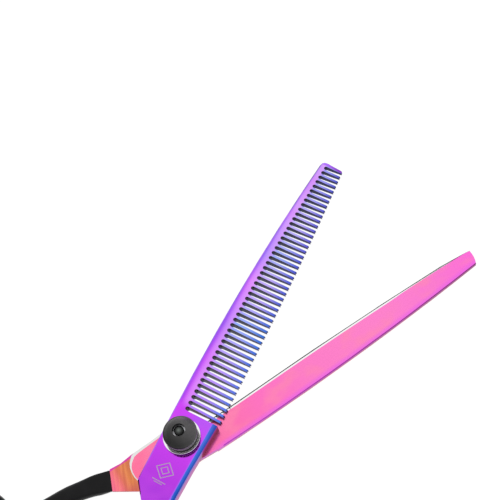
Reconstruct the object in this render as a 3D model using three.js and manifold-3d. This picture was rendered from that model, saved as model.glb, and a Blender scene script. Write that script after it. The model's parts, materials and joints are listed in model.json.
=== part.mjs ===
// Thinning shears, eight-inch class, modelled with the two halves part open.
// Millimetres, +Z up.  The origin is on the pivot axis, at the underside of the pivot screw's head.
// +X runs from the pivot towards the tips, halfway between the two halves.
//
// The cutting half lies below the plane where the blades meet and the comb half above it.
// Each half is drawn in its own frame: origin on the pivot axis in that plane, +X along the blade.

import * as THREE from 'three';
import { mergeVertices } from 'three/addons/utils/BufferGeometryUtils.js';
import Module from 'manifold-3d';

const wasm = await Module();
wasm.setup();

const rad = THREE.MathUtils.degToRad;

// Driving dimensions of the whole tool
const OPEN_ANGLE = rad(27.75);      // between the two halves as modelled
const MEET_Z = 5;                   // height of the plane where the blades meet
const PLATE = 3.9;                  // thickness of both halves at the pivot
const TIP_PLATE = 2.2;              // thickness of both halves at the tips
const BLADE_GAP = 0.05;             // air between the two halves
const FIT = 0.1;                    // clearance around a part that sits in another
const MIRROR_LINE = rad(4.4);       // the comb half mirrors the cutting half about this line

// Cutting blade
const CUT_TIP_X = 114.7;
const CUT_HEEL_X = 7.2;             // where the ground blade leaves the plate
const EDGE_THICK = 0.25;            // thickness left along the cutting edge
const BACK_WALL = 1.75;             // height of the flat back
const TIP_SLANT = 1.3;              // the end falls back by this much from the edge to the back

// Comb blade
const COMB_TIP_X = 112.3;
const SLOTS = 48;
const FIRST_SLOT_X = 8.88;          // centre of the first slot's round end
const LAST_SLOT_X = 110.2;
const SLOT_CROWDING = 0.33;         // how far slots are shifted back a third of the way along
const SLOT_WIDTH = 1.35;
const TOOTH_LEAN = rad(2);          // teeth lean towards the tip
const NOTCH_DEPTH = 0.45;           // V in the end of each tooth
const RICASSO_X = 8.2;              // end of the full plate, in front of the pivot
const BEVEL = 1.1;                  // width of the bevel along the plate's outer edge
const BACK_BEVEL = 0.5;             // and of the one along the back
const BEVEL_DEPTH = 0.55;
const COMB_ROOTED = 2;              // how far the toothed part reaches into the plate

// Handles
const JOINT_GAP = 0.05;             // line between blade shank and handle
const RING_MID = 13.9;              // ring, axis to middle of its section
const RING_HALF_WIDE = 2.3;
const RING_HALF_HIGH = 2.6;
const FINGER_RING = new THREE.Vector2(-72.2, 12.8);
const THUMB_OFFSET = 8.5;           // the thumb ring sits this much closer to the pivot
const TENON = { length: 5, wide: 3.2, high: 2 };

// Pivot stack, radii and heights above the plane where the blades meet
const JOURNAL_R = 2.75;
const KEY_R = 3.0;
const KEY_HALF = 2.3;               // half the distance across the key flats
const THREAD_R = 2.2;
const THREAD_KEY_HALF = 1.75;
const HEAD = { r: 5.0, low: -MEET_Z, high: -3.1 };
const THRUST = { inner: 3.15, outer: 5.85, low: -0.3, high: 0.03 };
const BUSH = { inner: 2.83, outer: 3.9, recess: 0.05 };
const COMB_TOP = BLADE_GAP + PLATE;
const SLIP = { inner: 3.0, outer: 5.3, low: COMB_TOP, high: COMB_TOP + 0.25 };
const SILVER = { outer: 5.72, low: SLIP.high + 0.02, high: SLIP.high + 0.47 };
const SPRING = { inner: 2.6, outer: 4.2, low: SILVER.high + 0.02, rise: 0.4, thick: 0.22 };
const CLICK = { outer: 4.4, low: SPRING.low + SPRING.rise + SPRING.thick + 0.02, thick: 0.3 };
const KNOB = {
  skirt: 5.3, r: 5.6, low: SILVER.high + 0.2, shoulder: 8.3, top: 10.3,
  cavity: 4.6, ceiling: CLICK.low + CLICK.thick + 0.04, bore: 2.28,
};
const NUT = { corner: 3.4, high: 8.5 };
const SCREW_TOP = 8.8;
const TRAVEL = 0.4;                 // room for the click plate to rise as the knob is slackened
const STOP = { r: 1.6, stud: 1.0, studLow: 6.8, top: 10.0 };

// Facets around a turned part
const FACETS = 40;

const paint = (color, metalness, roughness) =>
  new THREE.MeshStandardMaterial({ color, metalness, roughness });
const violet = paint(0xb040f0, 0.9, 0.25);
const pink = paint(0xff70c0, 0.9, 0.25);
const black = paint(0x1c1c1c, 0.4, 0.45);
const steel = paint(0xc8c8cc, 1.0, 0.25);
const bright = paint(0xe8e8ea, 1.0, 0.12);
const knobBlack = paint(0x2c2c2b, 0.7, 0.35);
const rubber = paint(0x151515, 0.0, 0.8);
const polymer = paint(0xe6e2d8, 0.0, 0.5);
const bronze = paint(0xb08850, 1.0, 0.35);

// ---- solids ----------------------------------------------------------------------------------

// A closed geometry as a manifold solid: corners merged, slivers dropped, faces turned outwards.
function solid(geometry) {
  const bare = geometry.clone();
  bare.deleteAttribute('normal');
  bare.deleteAttribute('uv');
  const merged = mergeVertices(bare, 1e-4);
  const place = merged.attributes.position;
  const index = merged.index.array;
  const triangles = [];
  let volume = 0;
  const a = new THREE.Vector3();
  const b = new THREE.Vector3();
  const c = new THREE.Vector3();
  for (let i = 0; i < index.length; i += 3) {
    const [p, q, r] = [index[i], index[i + 1], index[i + 2]];
    if (p === q || q === r || r === p) continue;
    triangles.push(p, q, r);
    a.fromBufferAttribute(place, p);
    b.fromBufferAttribute(place, q);
    c.fromBufferAttribute(place, r);
    volume += a.dot(b.cross(c));
  }
  if (volume < 0) triangles.reverse();
  return new wasm.Manifold(new wasm.Mesh({
    numProp: 3,
    vertProperties: Float32Array.from(place.array),
    triVerts: Uint32Array.from(triangles),
  }));
}

function geometryOf(shape) {
  const mesh = shape.getMesh();
  const geometry = new THREE.BufferGeometry();
  const corners = Float32Array.from(mesh.vertProperties);
  geometry.setAttribute('position', new THREE.BufferAttribute(corners, 3));
  geometry.setIndex(new THREE.BufferAttribute(Uint32Array.from(mesh.triVerts), 1));
  return geometry;
}

function piece(name, shape, material) {
  const mesh = new THREE.Mesh(geometryOf(shape), material);
  mesh.name = name;
  return mesh;
}

// A flat outline raised from zLow to zHigh.
function slab(points, zLow, zHigh) {
  const geometry = new THREE.ExtrudeGeometry(new THREE.Shape(points), {
    depth: zHigh - zLow, bevelEnabled: false,
  });
  geometry.translate(0, 0, zLow);
  return solid(geometry);
}

// A profile of [radius, height] pairs turned about the Z axis.
function turned(profile, facets = FACETS) {
  const points = profile.map(([r, z]) => new THREE.Vector2(r, z));
  const geometry = new THREE.LatheGeometry(points, facets);
  geometry.rotateX(Math.PI / 2);
  return solid(geometry);
}

const disc = (r, low, high, facets) => turned([[0, low], [r, low], [r, high], [0, high]], facets);

const washer = (inner, outer, low, high) => turned(
  [[inner, low], [outer, low], [outer, high], [inner, high], [inner, low]]);

function block(x, y, low, high) {
  const geometry = new THREE.BoxGeometry(x, y, high - low);
  geometry.translate(0, 0, (low + high) / 2);
  return solid(geometry);
}

// A skin through rings of points that all have the same count, closed by a fan at each end.
function loft(rings) {
  const count = rings[0].length;
  const positions = [];
  for (const ring of rings) {
    for (const p of ring) positions.push(p.x, p.y, p.z);
  }
  const middle = (ring) => ring
    .reduce((sum, p) => sum.add(p), new THREE.Vector3())
    .divideScalar(count);
  const first = middle(rings[0]);
  const last = middle(rings[rings.length - 1]);
  positions.push(first.x, first.y, first.z, last.x, last.y, last.z);
  const firstHub = rings.length * count;
  const lastRow = (rings.length - 1) * count;
  const index = [];
  for (let i = 0; i < count; i += 1) {
    const next = (i + 1) % count;
    for (let row = 0; row < rings.length - 1; row += 1) {
      const low = row * count;
      const high = low + count;
      index.push(low + i, low + next, high + next, low + i, high + next, high + i);
    }
    index.push(firstHub, next, i, firstHub + 1, lastRow + i, lastRow + next);
  }
  const geometry = new THREE.BufferGeometry();
  geometry.setAttribute('position', new THREE.Float32BufferAttribute(positions, 3));
  geometry.setIndex(index);
  return solid(geometry);
}

// The same point on the other side of the line through the pivot at MIRROR_LINE.
function mirrored(point) {
  const along = new THREE.Vector2(Math.cos(MIRROR_LINE), Math.sin(MIRROR_LINE));
  return along.multiplyScalar(2 * point.dot(along)).sub(point);
}

const flatsAcross = (half, low, high) => block(2 * half, 4 * KEY_R, low, high);

// ---- cutting blade ---------------------------------------------------------------------------

// The edge swells a little towards the middle and is drawn in near the tip.
const cutEdgeY = (x) => 1.28 + 0.95 * Math.sin(Math.PI * THREE.MathUtils.clamp((x - 20) / 115, 0, 1))
  - 0.005 * Math.max(0, x - 102) ** 2;
const cutBackY = (x) => -8.6 - 0.009 * x + 0.000432 * x * x;

// Both halves get thinner from the front of the full plate to the tips.
const plateThickAt = (x) => THREE.MathUtils.lerp(
  PLATE, TIP_PLATE, THREE.MathUtils.clamp((x - RICASSO_X) / (COMB_TIP_X - RICASSO_X), 0, 1));

// One section of the ground blade: flat inner face, low wall at the back, outer face falling in a
// curve to the edge.  A slanted section keeps its x at the edge and falls back towards the back.
function cuttingSection(x, slant) {
  const thick = plateThickAt(x);
  const wall = Math.min(BACK_WALL, 0.75 * thick);
  const at = ([u, depth]) => {
    const here = x - slant * (1 - u) ** 2.5;
    return new THREE.Vector3(here, THREE.MathUtils.lerp(cutBackY(here), cutEdgeY(here), u), -depth);
  };
  const outer = [
    [0, wall], [0.05, THREE.MathUtils.lerp(wall, thick, 0.45)], [0.2, thick],
    [0.5, 0.78 * thick], [0.76, 0.44 * thick], [1, EDGE_THICK]];
  const inner = [[1, 0], [0.75, 0], [0.5, 0], [0.25, 0], [0, 0]];
  return [...outer, ...inner].map(at);
}

function groundBlade() {
  const rings = [];
  const steps = 12;
  const tipStart = CUT_TIP_X - 3;
  for (let i = 0; i <= steps; i += 1) {
    rings.push(cuttingSection(THREE.MathUtils.lerp(CUT_HEEL_X, tipStart, i / steps), 0));
  }
  rings.push(cuttingSection(CUT_TIP_X - 1.5, 0.35 * TIP_SLANT));
  rings.push(cuttingSection(CUT_TIP_X, TIP_SLANT));
  return loft(rings);
}

// The cutting half's plate and shank: corners on the inner face, drawn in on the outer face.  At the
// front the slope starts higher up, level with the wall of the ground blade.
const CUTTING_PLATE = [
  [7.9, 1.0, -0.1, -0.3], [6.4, 5.2, -0.5, -0.2], [4.6, 7.7, -0.4, -0.5], [2.4, 7.9, 0, -0.6],
  [-3, 6.6, 0, -0.7], [-8.83, 6.2, 0, -0.7], [-16.3, 5.98, 0, -1], [-20.4, 5.45, 0, -1.4], [-24.26, 5.79, -0.59, -1.49],
  [-26.94, -1.02, 1, 2.56, 3.5], [-20, -5.78, 1.2, 1.8, 3.5], [-17.6, -7.4, 0.8, 1.7, 3.5],
  [-15.2, -8.35, 0.5, 1.4, 3],
  [-11, -8.55, 0.1, 1, 1.8], [1.6, -8.1, 0, 1.1, 2.15], [8.5, -8.48, 0, 1, 2.15],
];

function shankTenon(joint, angle, low, grow = 0) {
  const geometry = new THREE.BoxGeometry(
    2 * (TENON.length + grow), TENON.wide + 2 * grow, TENON.high + 2 * grow);
  geometry.rotateZ(angle);
  geometry.translate(joint.x, joint.y, low + PLATE / 2);
  return solid(geometry);
}

// A plate with the edges of one face bevelled.  Each corner is [x, y, dx, dy, deep]: its place on the
// full outline, how far the bevelled face's corner is drawn in from it, and the bevel's own depth there.
function bevelledPlate(corners, low, high, depth, faceUp) {
  const full = (z) => corners.map(([x, y]) => new THREE.Vector3(x, y, z));
  const drawnIn = (z) => corners.map(([x, y, dx, dy]) => new THREE.Vector3(x + dx, y + dy, z));
  const shoulder = (z, towards) => corners.map(
    ([x, y, , , deep = depth]) => new THREE.Vector3(x, y, z + towards * deep));
  if (faceUp) return loftOutline([full(low), shoulder(high, -1), drawnIn(high)]);
  return loftOutline([drawnIn(low), shoulder(low, 1), full(high)]);
}

// Walls between outlines at several heights, capped by triangulating the end outlines.
function loftOutline(rings) {
  const count = rings[0].length;
  const positions = rings.flatMap((ring) => ring.flatMap((p) => [p.x, p.y, p.z]));
  const index = [];
  for (let row = 0; row < rings.length - 1; row += 1) {
    for (let i = 0; i < count; i += 1) {
      const next = (i + 1) % count;
      const low = row * count;
      const high = low + count;
      index.push(low + i, low + next, high + next, low + i, high + next, high + i);
    }
  }
  const flat = (ring) => ring.map((p) => new THREE.Vector2(p.x, p.y));
  const clockwise = THREE.ShapeUtils.isClockWise(flat(rings[0]));
  const cap = (ring, offset, up) => {
    for (const [a, b, c] of THREE.ShapeUtils.triangulateShape(flat(ring), [])) {
      const corners = [a + offset, b + offset, c + offset];
      if (up === clockwise) corners.reverse();
      index.push(...corners);
    }
  };
  cap(rings[0], 0, false);
  cap(rings[rings.length - 1], (rings.length - 1) * count, true);
  const geometry = new THREE.BufferGeometry();
  geometry.setAttribute('position', new THREE.Float32BufferAttribute(positions, 3));
  geometry.setIndex(index);
  return solid(geometry);
}

// Where the black handle starts, in the cutting half's frame.
const JOINT_OUTER = new THREE.Vector2(-24.26, 5.79);
const JOINT_INNER = new THREE.Vector2(-26.94, -1.02);
const JOINT = JOINT_OUTER.clone().add(JOINT_INNER).multiplyScalar(0.5);
const JOINT_ANGLE = JOINT_OUTER.clone().sub(JOINT_INNER).angle() - Math.PI / 2;

function cuttingBlade() {
  const plate = bevelledPlate(CUTTING_PLATE, -PLATE, 0, 1.2, false);
  const tenon = shankTenon(JOINT, JOINT_ANGLE, -PLATE);
  const keyHole = disc(KEY_R + FIT, -PLATE - 1, 1).intersect(flatsAcross(KEY_HALF + FIT, -PLATE - 1, 1));
  const counterbore = disc(HEAD.r + 0.15, -PLATE - 1, HEAD.high);
  const washerSeat = disc(THRUST.outer + 0.15, THRUST.low, 1);
  return plate.add(groundBlade()).add(tenon).subtract(keyHole).subtract(counterbore).subtract(washerSeat);
}

// ---- comb blade ------------------------------------------------------------------------------

const rootY = (x) => 3.364 + 0.0821 * x - 0.000463 * x * x;
const combBackY = (x) => 6.65 + 0.0827 * x - 0.000574 * x * x;
const toothTipY = (x) => -8.25 + 0.0379 * x + 0.000357 * x * x;

const toothwards = new THREE.Vector2(Math.sin(TOOTH_LEAN), -Math.cos(TOOTH_LEAN));
const sideways = new THREE.Vector2(Math.cos(TOOTH_LEAN), Math.sin(TOOTH_LEAN));

function slotRoot(i) {
  const t = i / (SLOTS - 1);
  const shift = SLOT_CROWDING * 6.75 * t * (1 - t) ** 2;
  const x = THREE.MathUtils.lerp(FIRST_SLOT_X, LAST_SLOT_X, t) - shift;
  return new THREE.Vector2(x, rootY(x) - SLOT_WIDTH / 2);
}

// The end of a slot wall: from the root along the tooth until it meets the line of tooth tips.
function wallEnd(start) {
  let reach = start.y - toothTipY(start.x);
  for (let i = 0; i < 4; i += 1) {
    const x = start.x + reach * toothwards.x;
    reach = (start.y - toothTipY(x)) / Math.cos(TOOTH_LEAN);
  }
  return start.clone().addScaledVector(toothwards, reach);
}

// One slot from its tip-side wall, round the root, to its pivot-side wall.
function slotOutline(i, arcSteps) {
  const root = slotRoot(i);
  const half = SLOT_WIDTH / 2;
  const points = [wallEnd(root.clone().addScaledVector(sideways, half))];
  for (let k = 0; k <= arcSteps; k += 1) {
    const turn = Math.PI * k / arcSteps;
    points.push(root.clone()
      .addScaledVector(sideways, half * Math.cos(turn))
      .addScaledVector(toothwards, -half * Math.sin(turn)));
  }
  if (i > 0) points.push(wallEnd(root.clone().addScaledVector(sideways, -half)));
  return points;
}

// The V cut in the end of a tooth, between the two corners of its end.
function toothEnd(from, to) {
  const at = (u, depth) => from.clone().lerp(to, u).addScaledVector(toothwards, -depth);
  return [at(0.12, 0), at(0.5, NOTCH_DEPTH), at(0.88, 0)];
}

function combOutline() {
  const points = [];
  const backSteps = 14;
  for (let k = 0; k <= backSteps; k += 1) {
    const x = THREE.MathUtils.lerp(RICASSO_X - COMB_ROOTED, COMB_TIP_X - 1.6, k / backSteps);
    points.push(new THREE.Vector2(x, combBackY(x)));
  }
  const tip = [[-0.75, 8.25], [-0.2, 7.5], [0, 6.4], [-0.15, 4.3]];
  points.push(...tip.map(([x, y]) => new THREE.Vector2(COMB_TIP_X + x, y)));
  const endTooth = wallEnd(slotRoot(SLOTS - 1).addScaledVector(sideways, SLOT_WIDTH / 2));
  points.push(new THREE.Vector2(endTooth.x + 0.95, endTooth.y + 0.5));
  points.push(new THREE.Vector2(endTooth.x + 0.6, endTooth.y + 0.05));
  for (let i = SLOTS - 1; i >= 0; i -= 1) {
    const slot = slotOutline(i, 5);
    points.push(...slot);
    if (i > 0) {
      const nextWall = wallEnd(slotRoot(i - 1).addScaledVector(sideways, SLOT_WIDTH / 2));
      points.push(...toothEnd(slot[slot.length - 1], nextWall));
    }
  }
  points.push(new THREE.Vector2(RICASSO_X, rootY(RICASSO_X) - 1.6));
  points.push(new THREE.Vector2(RICASSO_X, -COMB_ROOTED * 2));
  points.push(new THREE.Vector2(RICASSO_X - COMB_ROOTED, -COMB_ROOTED * 2));
  return points;
}

// The room that the toothed part may fill: thinner towards the tip, with a bevel along the back and
// a top that falls from the slots' round ends to the tooth ends.
function combEnvelope() {
  const rings = [];
  const steps = 7;
  const beyond = 0.6;
  for (let k = 0; k <= steps; k += 1) {
    const x = THREE.MathUtils.lerp(RICASSO_X - 3, COMB_TIP_X + 2, k / steps);
    const top = BLADE_GAP + plateThickAt(x);
    const back = combBackY(x);
    const end = toothTipY(x) - 1;
    rings.push([
      [back + beyond, BLADE_GAP], [back + beyond, top - BEVEL_DEPTH * (1 + beyond / BACK_BEVEL)],
      [back - BACK_BEVEL, top], [rootY(x), top], [end, BLADE_GAP + 0.9], [end, BLADE_GAP],
    ].map(([y, z]) => new THREE.Vector3(x, y, z)));
  }
  return loft(rings);
}

const COMB_JOINT_OUTER = mirrored(JOINT_OUTER);
const COMB_JOINT_INNER = mirrored(JOINT_INNER);
const COMB_JOINT = mirrored(JOINT);
const COMB_JOINT_ANGLE = 2 * MIRROR_LINE - JOINT_ANGLE;

// The comb half's plate and shank: corners on the inner face, drawn in on the outer face.
const COMB_PLATE = [
  [-22.99, 0.95, 0.5, 0], [-18.25, 5.2, 0.4, -0.35], [-17, 5.55, 0.1, -BACK_BEVEL],
  [-3.13, 6.5, 0, -BACK_BEVEL], [3.64, combBackY(3.64), 0, -BACK_BEVEL],
  [RICASSO_X, combBackY(RICASSO_X), -0.1, -BACK_BEVEL], [RICASSO_X, -8.1, -0.1, 1.35 * BEVEL],
  [-7.96, -7.95, 0, BEVEL], [-17.78, -8.2, 0, BEVEL],
  [COMB_JOINT_OUTER.x, COMB_JOINT_OUTER.y, -0.45, BEVEL],
  [COMB_JOINT_INNER.x, COMB_JOINT_INNER.y, 0.25, -0.6],
];

function combBlade() {
  const plate = bevelledPlate(COMB_PLATE, BLADE_GAP, COMB_TOP, BEVEL_DEPTH, true);
  const comb = slab(combOutline(), BLADE_GAP, COMB_TOP).intersect(combEnvelope());
  const tenon = shankTenon(COMB_JOINT, COMB_JOINT_ANGLE, BLADE_GAP);
  const bore = disc(BUSH.outer + 0.07, -1, COMB_TOP + 1);
  return plate.add(comb).add(tenon).subtract(bore);
}

// ---- handles ---------------------------------------------------------------------------------

// The rod from the shank to the ring: [x, y, half width, middle height, half height].
const ROD = [
  [-25.6, 2.385, 3.66, -1.95, 1.95], [-27.4, 3.15, 3.55, -1.9, 2.0], [-30.5, 4.2, 3.3, -1.4, 2.25],
  [-34.5, 4.95, 3.0, -0.6, 2.5], [-39, 5.7, 2.9, 0, 2.65], [-46, 6.3, 2.75, 0, 2.65],
  [-53, 7.0, 2.6, 0, 2.6], [-58.5, 7.9, 2.4, 0, 2.5],
];

function rodRings(side) {
  const places = new THREE.CatmullRomCurve3(ROD.map(([x, y, , z]) => new THREE.Vector3(x, y, z)));
  const widths = new THREE.SplineCurve(ROD.map(([, , wide, , high]) => new THREE.Vector2(wide, high)));
  const steps = 16;
  const around = 16;
  const rings = [];
  for (let i = 0; i <= steps; i += 1) {
    const t = i / steps;
    const centre = places.getPoint(t);
    const along = places.getTangent(t).setZ(0).normalize();
    if (i === 0) along.set(Math.cos(JOINT_ANGLE + Math.PI), Math.sin(JOINT_ANGLE + Math.PI), 0);
    const across = new THREE.Vector3(-along.y, along.x, 0);
    const size = widths.getPoint(t);
    // At the shank flat towards the other half and drawn in outside; round all over at the ring.
    const inner = THREE.MathUtils.lerp(0.12, 0.95, Math.min(1, t * 2));
    const outer = THREE.MathUtils.lerp(0.75, 0.95, Math.min(1, t * 2));
    const undercut = 0.4 * (1 - Math.min(1, t * 4));
    const ring = [];
    for (let k = 0; k < around; k += 1) {
      const turn = 2 * Math.PI * (k + 0.5) / around;
      const c = Math.cos(turn);
      const s = Math.sin(turn);
      const square = s > 0 ? inner : outer;
      const rise = Math.sign(s) * Math.abs(s) ** square;
      const drawnIn = 1 - undercut * (1 - rise) / 2;
      const wide = size.x * Math.sign(c) * Math.abs(c) ** square * drawnIn;
      const lifted = new THREE.Vector3(0, 0, size.y * rise);
      ring.push(centre.clone().addScaledVector(across, wide).add(lifted));
    }
    rings.push(ring.map((p) => placed(p, side)));
  }
  return rings;
}

// Points drawn for the finger side, mirrored to the thumb side when side is -1.  Behind the shank the
// thumb side is also drawn forward, so that its ring ends up THUMB_OFFSET closer to the pivot.
function placed(p, side) {
  if (side > 0) return p;
  const flat = mirrored(new THREE.Vector2(p.x, p.y));
  const back = THREE.MathUtils.clamp((-p.x - 30) / 28.5, 0, 1);
  flat.x += THUMB_OFFSET * back * Math.cos(MIRROR_LINE);
  flat.y += THUMB_OFFSET * back * Math.sin(MIRROR_LINE);
  return new THREE.Vector3(flat.x, flat.y, -p.z);
}

function ringCentre(side) {
  const p = placed(new THREE.Vector3(FINGER_RING.x, FINGER_RING.y, 0), side);
  return new THREE.Vector2(p.x, p.y);
}

function fingerHole(centre) {
  const points = [];
  const around = 12;
  for (let k = 0; k <= around; k += 1) {
    const turn = -2 * Math.PI * k / around;
    points.push([RING_MID + RING_HALF_WIDE * Math.cos(turn), RING_HALF_HIGH * Math.sin(turn)]);
  }
  return turned(points, 48).translate([centre.x, centre.y, 0]);
}

function handle(side) {
  const centre = ringCentre(side);
  const low = side > 0 ? -PLATE : BLADE_GAP;
  const joint = side > 0 ? JOINT : COMB_JOINT;
  const angle = side > 0 ? JOINT_ANGLE : COMB_JOINT_ANGLE;
  const hole = disc(RING_MID - RING_HALF_WIDE + 0.6, -9, 9).translate([centre.x, centre.y, 0]);
  const rod = loft(rodRings(side)).subtract(hole);
  // A clean face against the shank, and the socket for its tenon.
  const clear = new THREE.BoxGeometry(10, 20, 20);
  clear.translate(5 - JOINT_GAP, 0, 0);
  clear.rotateZ(angle);
  clear.translate(joint.x, joint.y, 0);
  const socket = shankTenon(joint, angle, low, FIT);
  return rod.add(fingerHole(centre)).subtract(solid(clear)).subtract(socket);
}

// A soft ring that hugs the inside of a finger ring.
function ringInsert(centre) {
  const inner = RING_MID - RING_HALF_WIDE - 1.5;
  const lip = 2.75;
  const points = [[inner, 0], [inner + 0.25, -1.6], [inner + 0.9, -lip]];
  for (let k = -2; k <= 2; k += 1) {
    const z = 0.72 * lip * k / 2;
    const hug = Math.sqrt(1 - (z / (RING_HALF_HIGH + 0.15)) ** 2);
    points.push([RING_MID - (RING_HALF_WIDE + 0.15) * hug, z]);
  }
  points.push([inner + 0.9, lip], [inner + 0.25, 1.6], [inner, 0]);
  return turned(points, 48).translate([centre.x, centre.y, 0]);
}

// ---- small fittings --------------------------------------------------------------------------

// Solid drawn along +Z, turned to lie in the blade plane and point at angle from a place.
function laid(shape, place, angle) {
  const along = shape.rotate([0, 90, 0]);
  return along.rotate([0, 0, THREE.MathUtils.radToDeg(angle)]).translate([place.x, place.y, 0]);
}

const REST_ANGLE = Math.PI - rad(8);
const REST_SOCKET = { r: 1.3, depth: 3 };
const RING_OUT = RING_MID + RING_HALF_WIDE;

function onRing(centre, angle, r) {
  return new THREE.Vector2(centre.x + r * Math.cos(angle), centre.y + r * Math.sin(angle));
}

// The hook for the little finger: a stud, a shoulder, then a rod that curls outwards in an arc.
function fingerRest(centre) {
  const base = onRing(centre, REST_ANGLE, RING_OUT + 0.75);
  const bend = 17;
  const sweep = rad(62);
  const tipStart = 0.86;
  const bendCentre = onRing(base, REST_ANGLE - Math.PI / 2, bend);
  const rings = [];
  const steps = 14;
  const around = 14;
  for (let i = 0; i <= steps; i += 1) {
    const t = i / steps;
    const outwards = REST_ANGLE + Math.PI / 2 - sweep * t;
    const place = onRing(bendCentre, outwards, bend);
    const waist = 2.05 - 0.75 * Math.sin(Math.PI * Math.min(1, t * 1.25)) ** 1.2;
    const round = Math.max(0, (t - tipStart) / (1 - tipStart));
    const r = waist * Math.sqrt(1 - 0.87 * round ** 2);
    const across = new THREE.Vector3(Math.cos(outwards), Math.sin(outwards), 0);
    rings.push(Array.from({ length: around }, (_, k) => {
      const turn = 2 * Math.PI * k / around;
      const point = new THREE.Vector3(place.x, place.y, r * Math.sin(turn));
      return point.addScaledVector(across, r * Math.cos(turn));
    }));
  }
  const stud = laid(disc(REST_SOCKET.r - FIT, -REST_SOCKET.depth - 0.5, 0.6, 20), base, REST_ANGLE);
  return loft(rings).add(stud);
}

// The bumper points from the thumb ring to where the finger ring is when the blades are closed.
const CLOSED_LAP = rad(2);          // the comb half goes this far past parallel
const BUMPER = {
  r: 2.2, bore: 0.68, seat: 0.1, air: 0.15, stud: 0.6, studDepth: 2.1, studTop: 1.25,
};

function bumperAim() {
  const finger = FINGER_RING.clone().rotateAround(new THREE.Vector2(), CLOSED_LAP);
  const towards = finger.sub(ringCentre(-1));
  return { angle: towards.angle(), height: towards.length() - 2 * RING_OUT - BUMPER.air };
}

// ---- pivot stack -----------------------------------------------------------------------------

function pivotScrew() {
  const head = turned([
    [0, HEAD.low], [HEAD.r - 0.5, HEAD.low], [HEAD.r, HEAD.low + 0.5],
    [HEAD.r, HEAD.high], [0, HEAD.high]]);
  const key = disc(KEY_R, HEAD.high - 0.5, THRUST.low + 0.1)
    .intersect(flatsAcross(KEY_HALF, HEAD.low, COMB_TOP));
  const journal = disc(JOURNAL_R, THRUST.low, COMB_TOP);
  const flatsTop = CLICK.low + CLICK.thick + TRAVEL + FIT;
  const aboveFlats = block(9, 9, flatsTop, SCREW_TOP + 1);
  const thread = disc(THREAD_R, COMB_TOP - 0.5, SCREW_TOP)
    .intersect(flatsAcross(THREAD_KEY_HALF, COMB_TOP - 1, flatsTop).add(aboveFlats));
  const stopHole = disc(STOP.stud + 0.08, STOP.studLow - 0.1, SCREW_TOP + 1, 24);
  let screw = head.add(key).add(journal).add(thread).subtract(stopHole);
  for (const side of [-1, 1]) {
    screw = screw.subtract(disc(0.65, HEAD.low - 1, HEAD.low + 0.9, 16).translate([0, side * 3.1, 0]));
  }
  return screw;
}

const keyedHole = () => disc(THREAD_R + FIT, -9, 20).intersect(flatsAcross(THREAD_KEY_HALF + FIT, -9, 20));

function tensionKnob() {
  const body = turned([
    [0, KNOB.low], [KNOB.skirt - 0.2, KNOB.low], [KNOB.skirt, KNOB.low + 0.2],
    [KNOB.r, KNOB.shoulder - 0.5], [KNOB.r - 0.25, KNOB.shoulder],
    [4.1, 9.2], [2.75, KNOB.top - 0.1], [2.45, KNOB.top], [0, KNOB.top]], 48);
  return body
    .subtract(disc(KNOB.cavity, KNOB.low - 1, KNOB.ceiling))
    .subtract(disc(NUT.corner + FIT, KNOB.ceiling - 0.1, NUT.high + 0.05, 6))
    .subtract(disc(KNOB.bore, KNOB.low - 1, KNOB.top + 1));
}

// The threaded hexagon pressed into the knob.
const tensionNut = () => disc(NUT.corner, KNOB.ceiling, NUT.high, 6).subtract(disc(KNOB.bore, 0, 20));

function endStop() {
  const dome = [[0, STOP.top]];
  for (let k = 1; k <= 5; k += 1) {
    const turn = Math.PI / 2 * k / 5;
    dome.push([STOP.r * Math.sin(turn), STOP.top - 0.6 + 0.6 * Math.cos(turn)]);
  }
  return turned([
    [0, STOP.studLow], [STOP.stud, STOP.studLow], [STOP.stud, SCREW_TOP + 0.02],
    [STOP.r, SCREW_TOP + 0.02], ...dome.reverse()], 32);
}

function discSpring() {
  const { inner, outer, low, rise, thick } = SPRING;
  return turned([
    [inner, low + rise], [outer, low], [outer, low + thick],
    [inner, low + rise + thick], [inner, low + rise]]);
}

// ---- assembly --------------------------------------------------------------------------------

const cuttingHalf = new THREE.Group();
cuttingHalf.position.z = MEET_Z;
cuttingHalf.rotation.z = -OPEN_ANGLE / 2;

const combHalf = new THREE.Group();
combHalf.position.z = MEET_Z;
combHalf.rotation.z = OPEN_ANGLE / 2;

const fingerCentre = ringCentre(1);
const thumbCentre = ringCentre(-1);
const aim = bumperAim();
const atBumper = (shape) => laid(shape, onRing(thumbCentre, aim.angle, RING_OUT), aim.angle);
const bumperSocket = atBumper(disc(BUMPER.bore, -BUMPER.studDepth - 0.1, 3, 16));
const bumper = disc(BUMPER.r, BUMPER.seat, aim.height, 24)
  .subtract(disc(BUMPER.bore, 0, BUMPER.studTop + 0.05, 16));
const bumperStud = disc(BUMPER.stud, -BUMPER.studDepth, BUMPER.studTop, 16);
const atRest = (shape) => laid(shape, onRing(fingerCentre, REST_ANGLE, RING_OUT), REST_ANGLE);
const restSocket = atRest(disc(REST_SOCKET.r, -REST_SOCKET.depth, 3, 24));
const restSeat = atRest(disc(2.4, -0.1, 3, 24));

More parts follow.
